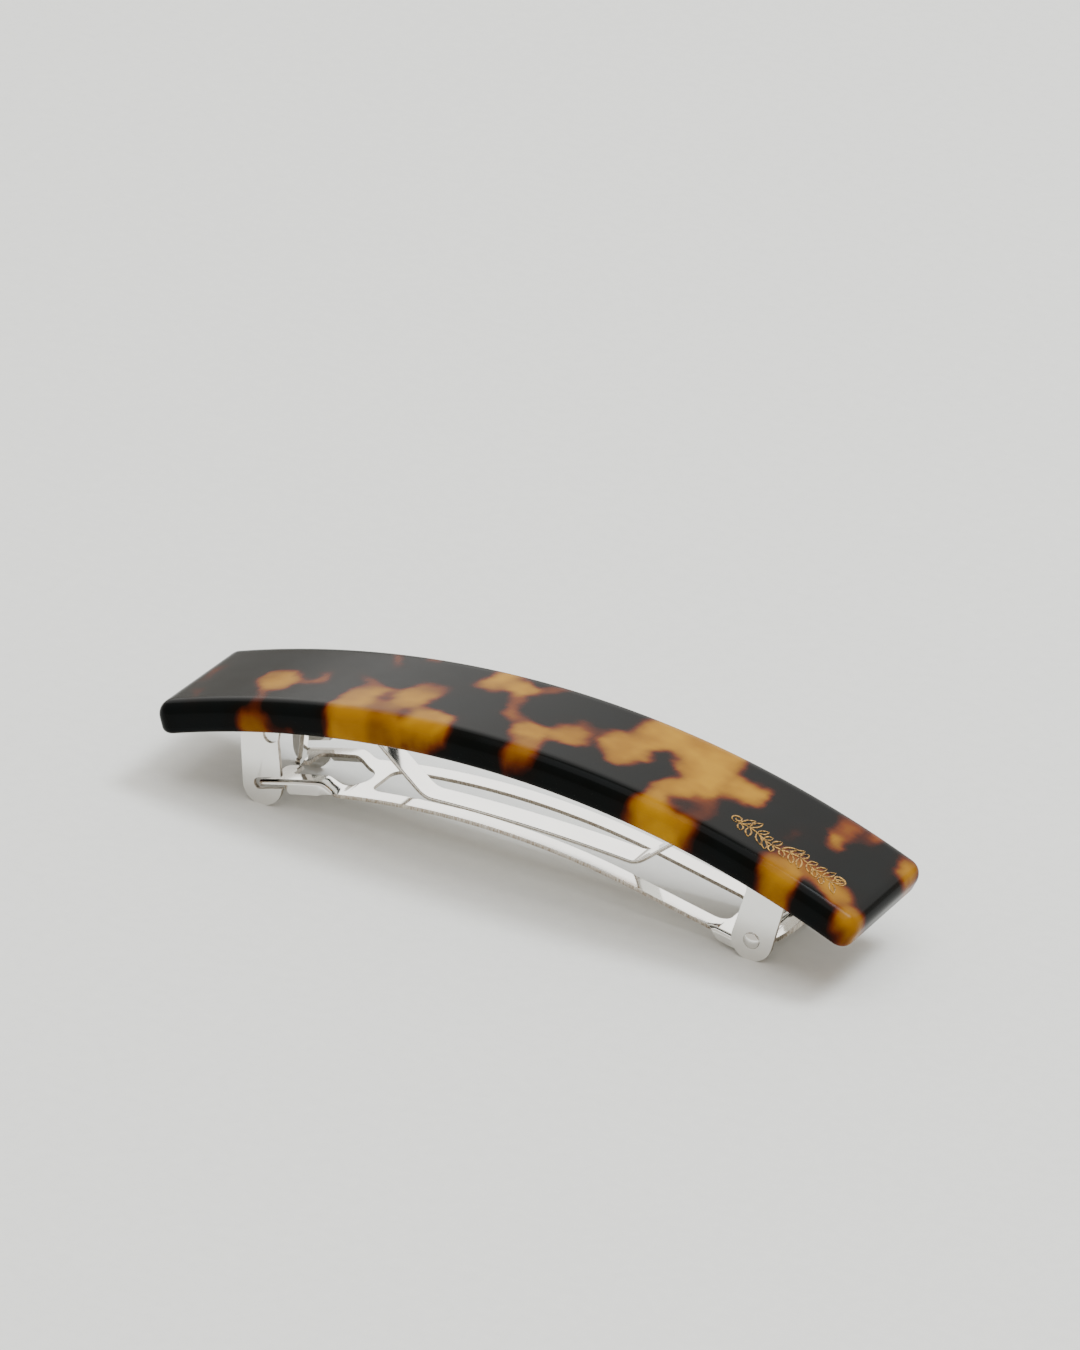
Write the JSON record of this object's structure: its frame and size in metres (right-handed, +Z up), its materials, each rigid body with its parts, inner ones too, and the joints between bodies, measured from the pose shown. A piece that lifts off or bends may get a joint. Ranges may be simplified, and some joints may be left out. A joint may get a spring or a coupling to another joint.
{
  "type": "hair barrette",
  "caption": "Curved rectangular acetate hair barrette on a stamped steel french clip with a pinned clasp arm, pinch catch and tension bar.",
  "frame": {"origin": "on the resting surface, under the middle of the bar", "axes": "+X along the bar from the catch end to the hinge end, +Y across the bar, +Z up, away from the hair"},
  "size_m": [0.0782, 0.0172, 0.016],
  "materials": {
    "acetate": "polished tortoiseshell acetate",
    "nickel_steel": "bright nickel plate on stamped steel",
    "spring_steel": "bright nickel plate on spring steel",
    "stud_steel": "turned and plated"
  },
  "bodies": {
    "clip_base": {"acetate_bar": "acetate", "base_plate": "nickel_steel", "anchor_studs": "stud_steel", "tension_bar": "spring_steel", "hinge_pin": "stud_steel"},
    "clasp": {"clasp_arm": "nickel_steel"},
    "front_finger": {"front_catch_finger": "nickel_steel"},
    "rear_finger": {"rear_catch_finger": "nickel_steel"}
  },
  "joints": [
    {"name": "clasp_hinge", "type": "hinge", "parent": "clip_base", "child": "clasp", "pos_m": [0.0273, 0, 0.0021], "axis": [0, -1, 0], "range_deg": [0, 65]},
    {"name": "front_finger_flex", "type": "hinge", "parent": "clasp", "child": "front_finger", "pos_m": [-0.0193, -0.00375, 0.0033], "axis": [0, 0, 1], "range_deg": [-3.5, 2.5], "stiffness_Nm_per_rad": 0.05},
    {"name": "rear_finger_flex", "type": "hinge", "parent": "clasp", "child": "rear_finger", "pos_m": [-0.0193, 0.00375, 0.0033], "axis": [0, 0, -1], "range_deg": [-3.5, 2.5], "stiffness_Nm_per_rad": 0.05}
  ]
}
